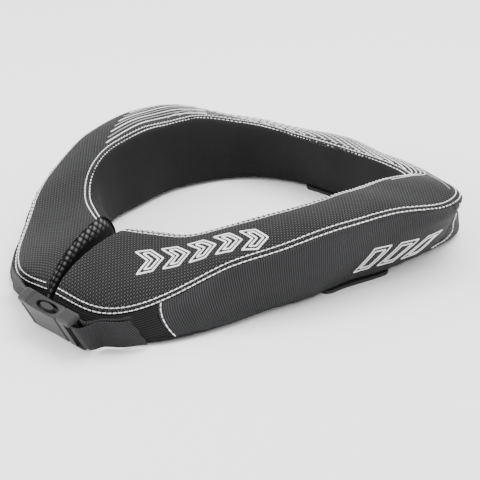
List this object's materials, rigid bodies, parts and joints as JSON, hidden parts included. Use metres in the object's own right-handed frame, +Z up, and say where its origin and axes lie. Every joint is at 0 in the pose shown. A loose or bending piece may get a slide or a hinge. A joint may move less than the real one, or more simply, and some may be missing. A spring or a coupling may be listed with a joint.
{
  "type": "race collar",
  "caption": "Padded foam neck collar with a sewn cover, open at the front, closed by webbing straps and a side-release buckle, on grip patches.",
  "frame": {"origin": "middle of the collar's footprint, on the surface that it lies on", "axes": "+Z up out of the neck opening, -Y towards the buckle at the wearer's front, +X towards the arm that is on the right when seen from the front"},
  "size_m": [0.2874, 0.3338, 0.0575],
  "materials": {
    "woven_nylon": "coarse weave",
    "smooth_lining": "matt",
    "ribbed_cloth": "ribbed",
    "foam": "open cell foam",
    "spacer_mesh": "open mesh",
    "grip_rubber": "matt",
    "webbing": "ribbed weave",
    "moulded_plastic": "satin"
  },
  "bodies": {
    "root": {"foam_core": "foam", "top_cover": "woven_nylon", "neck_lining": "smooth_lining", "base_cover": "smooth_lining", "front_panel_right": "smooth_lining", "front_panel_left": "smooth_lining", "side_band_right": "ribbed_cloth", "side_band_left": "ribbed_cloth", "rear_band": "ribbed_cloth", "end_mesh_right": "spacer_mesh", "end_mesh_left": "spacer_mesh", "grip_patch_right": "grip_rubber", "grip_patch_left": "grip_rubber", "grip_patch_back": "grip_rubber", "strap_right": "webbing", "strap_left": "webbing", "buckle_socket": "moulded_plastic", "buckle_clip": "moulded_plastic"}
  },
  "joints": []
}
